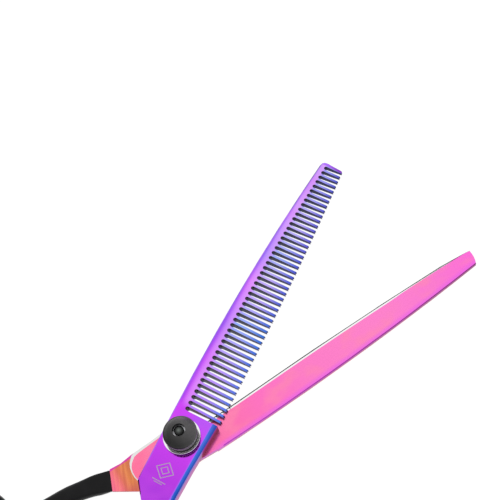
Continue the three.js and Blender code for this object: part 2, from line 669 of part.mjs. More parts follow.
cuttingHalf.add(
  piece('cutting_blade', cuttingBlade(), pink),
  piece('finger_handle', handle(1).subtract(restSocket).subtract(restSeat), black),
  piece('finger_ring_insert', ringInsert(fingerCentre), rubber),
  piece('finger_rest', fingerRest(fingerCentre), black),
  piece('finger_rest_washer', atRest(washer(REST_SOCKET.r + 0.05, 2.2, 0, 0.7)), rubber),
  piece('pivot_screw', pivotScrew(), steel),
  piece('thrust_washer', washer(THRUST.inner, THRUST.outer, THRUST.low, THRUST.high), polymer),
  piece('pressure_washer', disc(SILVER.outer, SILVER.low, SILVER.high).subtract(keyedHole()), bright),
  piece('disc_spring', discSpring(), steel),
  piece('click_plate', disc(CLICK.outer, CLICK.low, CLICK.low + CLICK.thick).subtract(keyedHole()), steel),
  piece('tension_knob', tensionKnob(), knobBlack),
  piece('tension_nut', tensionNut(), steel),
  piece('end_stop', endStop(), knobBlack),
);
combHalf.add(
  piece('comb_blade', combBlade(), violet),
  piece('thumb_handle', handle(-1).subtract(bumperSocket), black),
  piece('thumb_ring_insert', ringInsert(thumbCentre), rubber),
  piece('bumper', atBumper(bumper), rubber),
  piece('bumper_stud', atBumper(bumperStud), steel),
  piece('pivot_bush', washer(
    BUSH.inner, BUSH.outer, BLADE_GAP + BUSH.recess, COMB_TOP - BUSH.recess), bronze),
  piece('slip_washer', washer(SLIP.inner, SLIP.outer, SLIP.low, SLIP.high), polymer),
);

const shears = new THREE.Group();
shears.add(cuttingHalf, combHalf);

export default shears;
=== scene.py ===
import json
import math

import bmesh
import bpy
import numpy as np
from mathutils import Matrix, Vector


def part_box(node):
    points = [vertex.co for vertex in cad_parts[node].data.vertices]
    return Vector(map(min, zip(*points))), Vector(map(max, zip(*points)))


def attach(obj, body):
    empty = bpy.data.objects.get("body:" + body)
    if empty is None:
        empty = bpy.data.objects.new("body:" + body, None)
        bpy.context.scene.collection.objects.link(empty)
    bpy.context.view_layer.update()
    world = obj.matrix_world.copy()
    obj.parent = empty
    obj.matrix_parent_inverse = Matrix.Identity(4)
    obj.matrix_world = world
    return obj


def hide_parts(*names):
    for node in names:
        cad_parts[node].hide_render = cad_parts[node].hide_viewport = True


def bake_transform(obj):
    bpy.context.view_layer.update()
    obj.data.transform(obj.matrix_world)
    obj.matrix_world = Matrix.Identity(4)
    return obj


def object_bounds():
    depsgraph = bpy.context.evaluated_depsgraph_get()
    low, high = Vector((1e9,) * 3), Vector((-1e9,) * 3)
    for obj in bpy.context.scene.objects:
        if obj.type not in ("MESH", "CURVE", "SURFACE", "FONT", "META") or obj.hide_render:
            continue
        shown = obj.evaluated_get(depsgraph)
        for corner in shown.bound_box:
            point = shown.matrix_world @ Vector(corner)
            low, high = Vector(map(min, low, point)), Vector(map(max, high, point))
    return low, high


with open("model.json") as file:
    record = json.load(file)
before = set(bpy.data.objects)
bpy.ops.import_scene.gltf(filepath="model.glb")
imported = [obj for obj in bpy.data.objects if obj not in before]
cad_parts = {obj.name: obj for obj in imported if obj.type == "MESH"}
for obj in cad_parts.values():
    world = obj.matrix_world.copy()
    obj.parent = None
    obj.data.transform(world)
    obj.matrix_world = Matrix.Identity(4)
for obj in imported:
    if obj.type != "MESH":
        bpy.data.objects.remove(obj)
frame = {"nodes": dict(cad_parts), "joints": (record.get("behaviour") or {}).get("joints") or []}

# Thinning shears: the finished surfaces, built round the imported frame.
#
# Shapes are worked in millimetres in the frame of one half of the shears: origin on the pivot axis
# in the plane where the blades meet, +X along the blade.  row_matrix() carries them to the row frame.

cad_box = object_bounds()

MM = 0.001
PIVOT = next(joint for joint in frame["joints"] if joint["name"] == "blade_pivot")
MEET_Z = PIVOT["pos_m"][2] / MM
OPEN_HALF = math.radians(27.75 / 2)     # each half's turn away from the middle at rest
CUTTING = -1                            # side of the middle: the half below
COMB = 1                                # and the half above
BODY = {CUTTING: "cutting_half", COMB: "comb_half"}

# Blade shapes shared with the frame
RICASSO_X = 8.2
CUT_TIP_X = 114.7
COMB_TIP_X = 112.3
ROOT_LINE = (3.364, 0.0821, -0.000463)      # y of the slots' round ends, as a polynomial of x
TOOTH_END_LINE = (-8.25, 0.0379, 0.000357)  # y of the tooth ends
COMB_BACK_LINE = (6.65, 0.0827, -0.000574)  # y of the comb blade's back
CUT_BACK_LINE = (-8.6, -0.009, 0.000432)    # y of the cutting blade's back
HONE_START = RICASSO_X + 1.5
HONE_WIDTH = 0.78                           # bare steel strip along the cutting edge
BLUE_EDGE_LINE = (-6.75, 0.0187, 0.0)       # y of the blue bevel's inner edge

# The cutting edge: a straight start, a long swell, and a drop towards the tip
EDGE_START_Y = 1.28
EDGE_SWELL = 0.95
SWELL_START, SWELL_SPAN = 20.0, 115.0
DROP_START, DROP_RATE = 102.0, 0.005


def polynomial(coefficients, x):
    return sum(c * x ** power for power, c in enumerate(coefficients))


def cut_edge_y(x):
    """y of the cutting edge."""
    swell = EDGE_SWELL * math.sin(math.pi * min(1.0, max(0.0, (x - SWELL_START) / SWELL_SPAN)))
    return EDGE_START_Y + swell - DROP_RATE * max(0.0, x - DROP_START) ** 2


def smoothstep(value, low, high):
    t = min(1.0, max(0.0, (value - low) / (high - low)))
    return t * t * (3 - 2 * t)


# ---- shaders -----------------------------------------------------------------------------------

def linear(rgb):
    """A screen colour, 0 to 255 a channel, as the linear colour that shaders take."""
    def channel(value):
        c = value / 255
        return c / 12.92 if c <= 0.04045 else ((c + 0.055) / 1.055) ** 2.4
    return (*[channel(value) for value in rgb], 1.0)


class Shader:
    """A material with one Principled shader, and short ways to add the nodes that feed it."""

    def __init__(self, name, side=0, metallic=1.0, roughness=0.2):
        self.material = bpy.data.materials.new(name)
        self.material.use_nodes = True
        self.tree = self.material.node_tree
        self.tree.nodes.clear()
        output = self.tree.nodes.new("ShaderNodeOutputMaterial")
        self.surface = self.tree.nodes.new("ShaderNodeBsdfPrincipled")
        self.tree.links.new(self.surface.outputs["BSDF"], output.inputs["Surface"])
        self.set("Metallic", metallic)
        self.set("Roughness", roughness)
        self.side = side
        self.place = self.half_coordinates()

    def put(self, socket, value):
        if isinstance(value, bpy.types.NodeSocket):
            self.tree.links.new(value, socket)
        else:
            socket.default_value = value

    def set(self, name, value):
        self.put(self.surface.inputs[name], value)

    def paint(self, colour):
        self.set("Base Color", colour)

    def node(self, kind, inputs=(), output=0, **settings):
        made = self.tree.nodes.new("ShaderNode" + kind)
        for name, value in settings.items():
            setattr(made, name, value)
        for key, value in dict(inputs).items():
            self.put(made.inputs[key], value)
        return made.outputs[output]

    def half_coordinates(self):
        """Millimetres in this half's own frame, as a vector."""
        metres = self.node("TexCoord", output="Object")
        scaled = self.node("VectorMath", {0: metres, "Scale": 1 / MM}, operation="SCALE")
        raised = self.node("VectorMath", {0: scaled, 1: (0, 0, -MEET_Z)}, operation="ADD")
        return self.node("VectorRotate", {"Vector": raised, "Angle": -self.side * OPEN_HALF},
                         rotation_type="Z_AXIS")

    def axis(self, index):
        return self.node("SeparateXYZ", {0: self.place}, output=index)

    def math(self, operation, a, b=0.0):
        return self.node("Math", {0: a, 1: b}, operation=operation)

    def times(self, a, b):
        return self.math("MULTIPLY", a, b)

    def polynomial(self, coefficients, x):
        constant, slope, curve = coefficients
        rising = self.math("ADD", self.times(x, curve), slope)
        return self.math("ADD", self.times(rising, x), constant)

    def share(self, value, low, high, smooth=True):
        """0 at low, 1 at high; low and high may be sockets."""
        kind = "SMOOTHSTEP" if smooth else "LINEAR"
        return self.node("MapRange", {"Value": value, "From Min": low, "From Max": high},
                         interpolation_type=kind)

    def ramp(self, value, stops):
        """Colour stops {position: screen colour}, at positions in the units of value."""
        places = sorted(stops)
        low, high = places[0], places[-1]
        share = self.share(value, float(low), float(high), smooth=False)
        made = self.tree.nodes.new("ShaderNodeValToRGB")
        elements = made.color_ramp.elements
        while len(elements) < len(places):
            elements.new(0.5)
        for element, place in zip(elements, places):
            element.position = (place - low) / (high - low)
        for element, place in zip(elements, places):
            element.color = linear(stops[place])
        self.tree.links.new(share, made.inputs["Fac"])
        return made.outputs["Color"]

    def mix(self, factor, a, b):
        made = self.tree.nodes.new("ShaderNodeMix")
        made.data_type = "RGBA"
        for socket, value in zip((made.inputs[0], made.inputs[6], made.inputs[7]), (factor, a, b)):
            self.put(socket, linear(value) if isinstance(value, tuple) and len(value) == 3 else value)
        return made.outputs[2]

    def noise(self, scale, stretch=(1, 1, 1), detail=3.0):
        """Noise with about scale waves per millimetre, stretched along the half's axes."""
        vector = self.node("VectorMath", {0: self.place, 1: stretch}, operation="MULTIPLY")
        return self.node("TexNoise", {"Vector": vector, "Scale": scale, "Detail": detail,
                                      "Roughness": 0.55})

    def bump(self, height, strength, distance_mm):
        normal = self.node("Bump", {"Height": height, "Strength": strength,
                                    "Distance": distance_mm * MM})
        self.set("Normal", normal)

    def rough_between(self, value, low, high):
        self.set("Roughness", self.node("MapRange", {
            "Value": value, "From Min": 0.3, "From Max": 0.7, "To Min": low, "To Max": high}))


def brushed(shader, across=14.0, along=0.25, strength=0.12):
    """Fine grinding lines that run along the blade."""
    lines = shader.noise(1.0, (along, across, across), detail=2.0)
    shader.bump(lines, strength, 0.01)
    return lines


def violet_face():
    """Top of the comb: interference colour that drifts along the blade and across it."""
    s = Shader("violet_coating", COMB, roughness=0.16)
    x, y = s.axis(0), s.axis(1)
    along = s.ramp(x, {
        -26: (160, 62, 216), -14: (184, 62, 226), -4: (202, 66, 238), 9: (208, 72, 248), 18: (208, 86, 250),
        30: (202, 90, 252), 40: (172, 98, 247), 49: (196, 112, 254), 58: (222, 116, 255),
        69: (164, 126, 252), 80: (190, 138, 255), 91: (206, 144, 255), 101: (196, 144, 250),
        112: (196, 146, 252)})
    root = s.polynomial(ROOT_LINE, x)
    on_comb = s.share(x, RICASSO_X, RICASSO_X + 4)
    near_root = s.times(s.share(y, s.math("ADD", root, 2.5), root), on_comb)
    back = s.polynomial(COMB_BACK_LINE, x)
    near_back = s.share(y, s.math("ADD", root, 1.2), s.math("SUBTRACT", back, 0.5))
    near_back = s.times(near_back, on_comb)
    face = s.mix(s.times(near_root, 0.5), along, (232, 176, 255))
    face = s.mix(s.times(near_back, 0.55), face, (134, 72, 230))
    front = s.times(s.share(x, 1.0, 7.0), s.share(y, 3.0, -2.5))
    face = s.mix(s.times(front, 0.75), face, (170, 92, 246))
    drift = s.noise(0.12, detail=1.0)
    face = s.mix(s.times(s.share(drift, 0.45, 0.75), 0.22), face, (226, 88, 246))
    tooth_start = s.ramp(x, {
        8: (176, 128, 250), 24: (196, 158, 255), 34: (186, 170, 255), 42: (150, 176, 255),
        52: (196, 172, 255), 62: (196, 176, 252), 70: (160, 174, 250), 84: (196, 180, 255),
        98: (168, 164, 248), 112: (150, 150, 244)})
    tooth_end = s.ramp(x, {
        8: (84, 128, 232), 24: (82, 116, 226), 34: (62, 112, 222), 42: (46, 112, 212),
        52: (72, 96, 214), 66: (66, 84, 208), 80: (88, 86, 212), 112: (70, 82, 196)})
    end = s.polynomial(TOOTH_END_LINE, x)
    down_tooth = s.share(y, root, end, smooth=False)
    tooth = s.mix(s.share(down_tooth, 0.3, 1.05), tooth_start, tooth_end)
    past_ricasso = s.share(x, RICASSO_X, RICASSO_X + 0.3)
    is_tooth = s.times(s.share(down_tooth, 0.0, 0.14), past_ricasso)
    last_tooth = s.share(x, COMB_TIP_X - 1.2, COMB_TIP_X - 0.9)
    is_tooth = s.times(is_tooth, s.math("SUBTRACT", 1.0, last_tooth))
    colour = s.mix(is_tooth, face, tooth)
    end_tooth = s.mix(s.share(down_tooth, 0.0, 0.9), (176, 112, 250), (138, 64, 196))
    colour = s.mix(last_tooth, colour, end_tooth)
    bevel_edge = s.polynomial(BLUE_EDGE_LINE, x)
    # Painted highlight: a paler line on the face along the blue bevel's inner edge.
    painted_bevel_highlight = s.share(y, s.math("ADD", bevel_edge, 0.5), s.math("ADD", bevel_edge, 0.15))
    painted_bevel_highlight = s.times(painted_bevel_highlight, s.share(x, RICASSO_X + 0.1, RICASSO_X))
    colour = s.mix(s.times(painted_bevel_highlight, 0.7), colour, (164, 112, 250))
    s.paint(colour)
    lines = brushed(s)
    s.rough_between(lines, 0.06, 0.12)
    return s.material


def slot_wall():
    """Inside of the slots and the tooth ends: painted shade, the coating painted nearly black."""
    s = Shader("slot_wall_painted_shade", COMB, metallic=0.3, roughness=0.4)
    grain = s.noise(2.0, (0.4, 0.4, 3.0))
    near_end = s.share(s.axis(2), 2.2, 0.6)
    # Painted shade: near black at the top of the walls, a little less dark towards the bottom.
    colour = s.mix(near_end, (6, 6, 14), (38, 36, 92))
    s.paint(s.mix(s.times(grain, 0.2), colour, (40, 32, 78)))
    s.set("Specular IOR Level", 0.2)
    return s.material


def blue_bevel():
    s = Shader("blue_bevel_coating", COMB, roughness=0.18)
    colour = s.ramp(s.axis(0), {-26: (36, 84, 180), -16: (38, 96, 205), -4: (58, 110, 214),
                                3: (76, 112, 220), 8.2: (66, 96, 205)})
    streaks = s.noise(0.5, (1.0, 0.1, 0.1))
    colour = s.mix(s.times(streaks, 0.4), colour, (96, 140, 250))
    outer = s.share(s.axis(1), s.polynomial(BLUE_EDGE_LINE, s.axis(0)), -8.1)
    s.paint(s.mix(s.times(outer, 0.75), colour, (24, 58, 150)))
    brushed(s)
    return s.material


def violet_corner():
    """Broken corners of the comb half: pale where they catch the light, deep violet at the back, with
    painted shade in maroon at the ricasso's front.
    """
    s = Shader("violet_corner_coating", COMB, roughness=0.22)
    x, y = s.axis(0), s.axis(1)
    pale = s.mix(s.noise(0.3), (158, 136, 248), (124, 128, 240))
    colour = s.mix(s.share(y, 4.6, 5.4), pale, (98, 62, 206))
    # Painted shade: dark maroon on the corners at the ricasso's front.
    ricasso_front = s.times(s.share(x, 7.7, 7.9), s.share(x, 8.6, 8.4))
    maroon = s.times(ricasso_front, s.share(y, 3.0, 2.0))
    s.paint(s.mix(maroon, colour, (104, 18, 74)))
    return s.material


def plate_wall():
    """Side of the comb half's plate: purple to pink, with painted shade in dark maroon low down near the
    front, where it meets the cutting blade.
    """
    s = Shader("plate_wall_coating", COMB, roughness=0.22)
    x, z = s.axis(0), s.axis(2)
    upper = s.ramp(x, {-26: (100, 60, 176), -16: (112, 56, 180), -8: (130, 60, 180),
                       -2: (132, 66, 190), 8.2: (118, 70, 172)})
    # The lower colours from x = -1 forward are painted shade, dark maroon.
    lower = s.ramp(x, {-26: (190, 76, 140), -16: (178, 74, 156), -8: (178, 70, 158),
                       -4: (172, 76, 146), -1: (92, 22, 62), 8.2: (84, 16, 52)})
    colour = s.mix(s.share(z, 2.9, 1.5), upper, lower)
    s.paint(colour)
    brushed(s)
    return s.material


def violet_side():
    """Spine, underside and shank sides of the comb half."""
    s = Shader("violet_side_coating", COMB, roughness=0.2)
    colour = s.ramp(s.axis(0), {-26: (150, 62, 205), 10: (146, 66, 226), 45: (116, 64, 214),
                                80: (88, 62, 190), 112: (66, 50, 140)})
    s.paint(s.mix(s.share(s.noise(0.15), 0.4, 0.7), colour, (170, 80, 232)))
    brushed(s)
    return s.material


def pink_face():
    """Inner face of the cutting blade, with faint coral clouds and a violet rim at the spine."""
    s = Shader("pink_coating", CUTTING, roughness=0.2)
    x, y = s.axis(0), s.axis(1)
    colour = s.ramp(x, {
        -20: (255, 118, 158), 4: (253, 116, 170), 15: (253, 116, 178), 30: (254, 116, 196),
        45: (253, 126, 200), 70: (254, 131, 203), 85: (253, 128, 208), 100: (251, 121, 210),
        114: (253, 111, 216)})
    clouds = s.noise(0.09, (1, 1.6, 1), detail=2.0)
    colour = s.mix(s.times(s.share(clouds, 0.45, 0.7), 0.55), colour, (255, 140, 176))
    spine = s.polynomial(CUT_BACK_LINE, x)
    rim = s.share(y, s.math("ADD", spine, 2.2), s.math("ADD", spine, 0.2))
    rim = s.times(rim, s.share(x, 2.0, 12.0))
    colour = s.mix(s.times(rim, 0.75), colour, (236, 104, 232))
    s.paint(colour)
    lines = brushed(s, strength=0.08)
    s.rough_between(lines, 0.18, 0.26)
    return s.material


def spine_coating():
    """Back of the cutting blade: magenta at the top, coral lower down."""
    s = Shader("spine_coating", CUTTING, roughness=0.25)
    x = s.axis(0)
    upper = s.ramp(x, {-26: (205, 60, 150), 8: (188, 72, 190), 50: (168, 52, 162), 114: (132, 34, 118)})
    lower = s.ramp(x, {-26: (214, 112, 104), 8: (242, 148, 116), 60: (240, 142, 116), 114: (206, 92, 110)})
    s.paint(s.mix(s.share(s.axis(2), -1.1, -1.7), upper, lower))
    brushed(s)
    return s.material


def outer_grind():
    """Ground outer side of the cutting blade and its plate."""
    s = Shader("outer_grind_coating", CUTTING, roughness=0.24)
    x = s.axis(0)
    colour = s.ramp(x, {-26: (228, 110, 110), 0: (250, 118, 160), 50: (252, 120, 186),
                        114: (248, 108, 206)})
    clouds = s.noise(0.1, (1, 1.5, 1), detail=2.0)
    s.paint(s.mix(s.times(s.share(clouds, 0.4, 0.7), 0.5), colour, (250, 150, 150)))
    brushed(s)
    return s.material


def shank_coating():
    """Copper and orange of the shank, ground across, pink next to the black handle."""
    s = Shader("shank_coating", CUTTING, roughness=0.24)
    x, y = s.axis(0), s.axis(1)
    colour = s.ramp(x, {-27: (250, 112, 150), -24.5: (250, 120, 138), -22.5: (226, 118, 96),
                        -20.5: (228, 136, 82), -18.5: (216, 124, 84), -16: (232, 130, 110)})
    across = s.math("ADD", s.times(x, 0.93), s.times(y, -0.37))
    grind = s.node("CombineXYZ", {0: across, 1: s.times(y, 0.05)})
    streaks = s.node("TexNoise", {"Vector": grind, "Scale": 1.1, "Detail": 3.0})
    colour = s.mix(s.times(s.share(streaks, 0.45, 0.65), 0.25), colour, (176, 86, 84))
    colour = s.mix(s.times(s.share(streaks, 0.5, 0.38), 0.3), colour, (250, 160, 120))
    low = s.share(y, -1.5, -5.0)
    colour = s.mix(s.times(low, 0.5), colour, (196, 84, 98))
    back_rim = s.times(s.share(y, 4.85, 5.25), 0.85)
    colour = s.mix(back_rim, colour, (216, 52, 178))
    s.paint(colour)
    s.bump(streaks, 0.1, 0.02)
    return s.material


def bare_steel(name, side, tint, roughness):
    """Ground steel with no coating."""
    s = Shader(name, side, roughness=roughness)
    lines = s.noise(1.0, (0.3, 16.0, 16.0), detail=2.0)
    s.paint(s.mix(lines, tint, tuple(round(c * 0.9) for c in tint)))
    s.bump(lines, 0.06, 0.01)
    return s.material


def hone_steel():
    """The flat honed strip, bright, with a darker line painted along the very edge as shade."""
    s = Shader("hone_steel", CUTTING, roughness=0.12)
    x, y = s.axis(0), s.axis(1)
    lines = s.noise(1.0, (0.3, 16.0, 16.0), detail=2.0)
    turn = s.times(s.math("SUBTRACT", x, SWELL_START), math.pi / SWELL_SPAN)
    swell = s.times(s.math("SINE", s.math("MAXIMUM", turn, 0.0)), EDGE_SWELL)
    past = s.math("MAXIMUM", s.math("SUBTRACT", x, DROP_START), 0.0)
    drop = s.times(s.times(past, past), -DROP_RATE)
    edge = s.math("ADD", s.math("ADD", swell, drop), EDGE_START_Y)
    colour = s.mix(lines, (255, 255, 255), (240, 240, 242))
    # Painted shade: a dark line along the cutting edge.
    edge_painted_shade = s.share(y, s.math("SUBTRACT", edge, 0.42), s.math("SUBTRACT", edge, 0.3))
    s.paint(s.mix(edge_painted_shade, colour, (66, 72, 68)))
    s.bump(lines, 0.06, 0.01)
    return s.material


def satin_black():
    """Handle coating: satin, with a very fine orange-peel and a few soft rubbed patches."""
    s = Shader("handle_coating", 0, metallic=0.0, roughness=0.42)
    grain = s.noise(9.0, detail=2.0)
    rubbed = s.noise(0.25, detail=2.0)
    s.set("Specular IOR Level", 0.16)
    s.paint(s.mix(s.share(rubbed, 0.35, 0.75), (9, 9, 10), (16, 16, 17)))
    s.rough_between(rubbed, 0.34, 0.46)
    s.bump(grain, 0.12, 0.02)
    return s.material


def from_axis(s):
    """Distance from the pivot axis in millimetres."""
    flat = s.node("VectorMath", {0: s.place, 1: (1, 1, 0)}, operation="MULTIPLY")
    return s.node("VectorMath", {0: flat}, output="Value", operation="LENGTH")


def knob_coating():
    """Black anodised and turned, with fine rings about the pivot axis, and one side painted paler as a
    highlight.
    """
    s = Shader("knob_coating", 0, metallic=0.75, roughness=0.33)
    radius = from_axis(s)
    rings = s.math("SINE", s.times(radius, 42.0))
    wander = s.noise(0.5, detail=2.0)
    # Painted light: a lit and a shaded copy of the finish, paler towards +x.
    painted_lit_side = s.share(s.axis(0), -5.0, 5.0)
    dark = s.mix(s.share(rings, -1.0, 1.0), (34, 34, 33), (48, 48, 47))
    pale = s.mix(s.share(rings, -1.0, 1.0), (88, 86, 88), (108, 106, 108))
    colour = s.mix(painted_lit_side, dark, pale)
    s.paint(s.mix(s.times(wander, 0.4), colour, (44, 44, 44)))
    s.rough_between(wander, 0.28, 0.4)
    s.bump(rings, 0.15, 0.01)
    return s.material


def dome_painted_highlight_coating():
    """Polished black of the domed end stop, with a painted highlight paler at its crown."""
    s = Shader("dome_painted_highlight_coating", 0, metallic=0.8, roughness=0.24)
    # Painted highlight: pale at the crown, darkening outwards.
    colour = s.ramp(from_axis(s), {0: (112, 118, 114), 0.5: (84, 88, 86), 0.95: (44, 46, 45),
                                   1.4: (20, 20, 20)})
    s.paint(s.mix(s.times(s.noise(1.2), 0.3), colour, (40, 42, 41)))
    return s.material


def knurl_coating(slope, foot, low):
    """Black flank with painted highlights on its ridges: slope and foot give the ridges' radius from z."""
    s = Shader("knurl_coating", 0, metallic=0.6, roughness=0.4)
    grain = s.noise(3.0)
    crest_radius = s.math("ADD", s.times(s.axis(2), slope), foot)
    crest = s.share(s.math("SUBTRACT", from_axis(s), crest_radius), -0.1, -0.02)
    between = s.times(s.share(s.axis(2), low + 0.5, low + 0.7), s.share(s.axis(2), 7.6, 7.4))
    colour = s.mix(grain, (8, 8, 8), (22, 22, 22))
    # Painted highlight: pale on the ridges' crests within the flank band.
    s.paint(s.mix(s.times(crest, between), colour, (150, 150, 144)))
    s.rough_between(grain, 0.34, 0.5)
    return s.material


def turned_metal(name, tint, roughness):
    """Turned bright metal, with faint rings about the pivot axis."""
    s = Shader(name, 0, roughness=roughness)
    rings = s.math("SINE", s.times(from_axis(s), 30.0))
    darker = tuple(round(c * 0.92) for c in tint)
    s.paint(s.mix(s.share(rings, -1.0, 1.0), tint, darker))
    s.bump(rings, 0.08, 0.01)
    return s.material


def washer_finish(high):
    """Bright washer with painted shade, near black, on its foot below its rounded top edge at the height
    high.
    """
    s = Shader("polished_steel_with_painted_shade", 0, roughness=0.1)
    rings = s.math("SINE", s.times(from_axis(s), 30.0))
    bright = s.mix(s.share(rings, -1.0, 1.0), (250, 250, 250), (232, 232, 234))
    # Painted shade: near black below the rounded top edge.
    s.paint(s.mix(s.share(s.axis(2), high - 0.14, high - 0.22), bright, (30, 30, 32)))
    return s.material


def soft_rubber():
    s = Shader("rubber", 0, metallic=0.0, roughness=0.62)
    grain = s.noise(6.0, detail=3.0)
    dust = s.noise(0.4, detail=3.0)
    s.paint(s.mix(s.share(dust, 0.35, 0.75), (23, 23, 24), (36, 36, 37)))
    s.rough_between(dust, 0.55, 0.72)
    s.bump(grain, 0.2, 0.02)
    return s.material


def polymer(name, dark, light):
    s = Shader(name, 0, metallic=0.0, roughness=0.5)
    s.paint(s.mix(s.noise(1.5), dark, light))
    s.bump(s.noise(5.0), 0.1, 0.01)
    return s.material


# ---- shapes ------------------------------------------------------------------------------------

def row_matrix(side):
    """From millimetres in one half's frame to metres in the row frame."""
    turn = Matrix.Rotation(side * OPEN_HALF, 4, "Z")
    return Matrix.Translation((0, 0, MEET_Z * MM)) @ turn @ Matrix.Scale(MM, 4)


def to_object(name, bm, materials=()):
    mesh = bpy.data.meshes.new(name)
    bm.to_mesh(mesh)
    bm.free()
    for material in materials:
        mesh.materials.append(material)
    made = bpy.data.objects.new(name, mesh)
    bpy.context.scene.collection.objects.link(made)
    return made


def apply_modifiers(piece):
    bpy.context.view_layer.update()
    graph = bpy.context.evaluated_depsgraph_get()
    mesh = bpy.data.meshes.new_from_object(piece.evaluated_get(graph))
    piece.modifiers.clear()
    old = piece.data
    piece.data = mesh
    bpy.data.meshes.remove(old)


def boolean(piece, cutter):
    """Cuts piece by cutter; new faces keep the cutter's materials."""
    modifier = piece.modifiers.new("cut", "BOOLEAN")
    modifier.operation = "DIFFERENCE"
    modifier.solver = "EXACT"
    modifier.material_mode = "TRANSFER"
    modifier.object = cutter
    apply_modifiers(piece)
    bpy.data.objects.remove(cutter)


def cad_shape(node, side, flat_angle=0.6):
    """A copy of a CAD node in its half's millimetres, with flat areas merged to single faces."""
    bm = bmesh.new()
    bm.from_mesh(frame["nodes"][node].data)
    bm.transform(row_matrix(side).inverted())
    bmesh.ops.remove_doubles(bm, verts=bm.verts, dist=1e-4)
    bmesh.ops.dissolve_limit(bm, angle_limit=math.radians(flat_angle), verts=bm.verts, edges=bm.edges)
    bmesh.ops.recalc_face_normals(bm, faces=bm.faces)
    for layer in list(bm.loops.layers.uv.values()):
        bm.loops.layers.uv.remove(layer)
    return bm


def break_corners(piece, width, segments=2, angle=24, material=-1):
    """Bevels the sharp edges.  Very short edges in a mesh hold the bevel's width back."""
    modifier = piece.modifiers.new("corners", "BEVEL")
    modifier.width = width
    modifier.segments = segments
    modifier.limit_method = "ANGLE"
    modifier.angle_limit = math.radians(angle)
    modifier.use_clamp_overlap = True
    modifier.miter_outer = "MITER_ARC"
    modifier.material = material
    apply_modifiers(piece)


def finish_piece(piece, side, body, nodes, smooth=32):
    """Carries a finished shape to the row frame and puts it in place of its CAD nodes."""
    piece.data.transform(row_matrix(side))
    piece.data.shade_smooth()
    piece.data.set_sharp_from_angle(angle=math.radians(smooth))
    weighted = piece.modifiers.new("even_shading", "WEIGHTED_NORMAL")
    weighted.keep_sharp = True
    apply_modifiers(piece)
    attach(piece, body)
    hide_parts(*nodes)


def loft(rings):
    """A closed skin through rings of points that all have the same count."""
    bm = bmesh.new()
    rows = [[bm.verts.new(point) for point in ring] for ring in rings]
    for low, high in zip(rows, rows[1:]):
        for k in range(len(low)):
            after = (k + 1) % len(low)
            bm.faces.new((low[k], low[after], high[after], high[k]))
    bm.faces.new(rows[0])
    bm.faces.new(rows[-1])
    bmesh.ops.recalc_face_normals(bm, faces=bm.faces)
    return bm


def prism(outline, low, high):
    return loft([[(x, y, low) for x, y in outline], [(x, y, high) for x, y in outline]])


def turned(profile, facets=96, offset=None, closed=False):
    """A profile of (radius, height) turned about the pivot axis.

    offset(radius, height, turn) moves a point outwards.  A closed profile makes a ring; any
    other starts and ends on the axis.
    """
    bm = bmesh.new()
    rows = []
    for radius, height in profile:
        if radius < 1e-6:
            rows.append([bm.verts.new((0, 0, height))])
            continue
        row = []
        for k in range(facets):
            turn = 2 * math.pi * k / facets
            r = radius + (offset(radius, height, turn) if offset else 0.0)
            row.append(bm.verts.new((r * math.cos(turn), r * math.sin(turn), height)))
        rows.append(row)
    pairs = list(zip(rows, rows[1:]))
    if closed:
        pairs.append((rows[-1], rows[0]))
    for low, high in pairs:
        for k in range(facets):
            after = (k + 1) % facets
            if len(low) == 1:
                bm.faces.new((low[0], high[after], high[k]))
            elif len(high) == 1:
                bm.faces.new((low[k], low[after], high[0]))
            else:
                bm.faces.new((low[k], low[after], high[after], high[k]))
    bmesh.ops.recalc_face_normals(bm, faces=bm.faces)
    return bm


def rounded(profile, radius, steps=3):
    """The closed profile with its corners rounded off."""
    points = []
    count = len(profile)
    for i, corner in enumerate(profile):
        here = Vector(corner)
        back = Vector(profile[i - 1]) - here
        on = Vector(profile[(i + 1) % count]) - here
        reach = min(radius, 0.45 * back.length, 0.45 * on.length)
        start = here + back.normalized() * reach
        end = here + on.normalized() * reach
        for k in range(steps + 1):
            t = k / steps
            points.append(tuple(start * (1 - t) ** 2 + here * 2 * t * (1 - t) + end * t * t))
    return points


def taubin(mesh, rounds, shrink=0.5, grow=-0.53):
    """Evens out a dense mesh without shrinking it."""
    points = np.empty(len(mesh.vertices) * 3)
    mesh.vertices.foreach_get("co", points)
    points = points.reshape(-1, 3)
    pairs = np.empty(len(mesh.edges) * 2, int)
    mesh.edges.foreach_get("vertices", pairs)
    a, b = pairs.reshape(-1, 2).T
    neighbours = np.bincount(np.concatenate([a, b]), minlength=len(points))[:, None]
    for _ in range(rounds):
        for step in (shrink, grow):
            total = np.zeros_like(points)
            np.add.at(total, a, points[b])
            np.add.at(total, b, points[a])
            points += step * (total / neighbours - points)
    mesh.vertices.foreach_set("co", points.ravel())
    mesh.update()


def remesh(piece, voxel):
    modifier = piece.modifiers.new("remesh", "REMESH")
    modifier.mode = "VOXEL"
    modifier.voxel_size = voxel
    apply_modifiers(piece)


# ---- comb blade --------------------------------------------------------------------------------

VIOLET_ZONES = ("face", "slot", "bevel", "wall", "side", "mark", "light")


def comb_zone(normal, centre):
    """Which finish a face of the comb blade takes, from where it is and where it points."""
    x, y = centre.x, centre.y
    root = polynomial(ROOT_LINE, x)
    if normal.z < -0.7:
        return "side"
    if normal.z > 0.3:
        if y > 5.5 and normal.y > 0.25:
            return "side"
        if x < RICASSO_X + 0.2 and normal.y < -0.25:
            return "bevel"
        return "face"
    if x > RICASSO_X + 0.05 and y < root + 0.15:
        return "side" if x > COMB_TIP_X - 0.6 else "slot"
    if x > RICASSO_X - 0.3 and normal.x > 0.7 and y < root:
        return "slot"
    if normal.y < -0.5 and x < RICASSO_X + 0.1:
        return "wall"
    return "side"


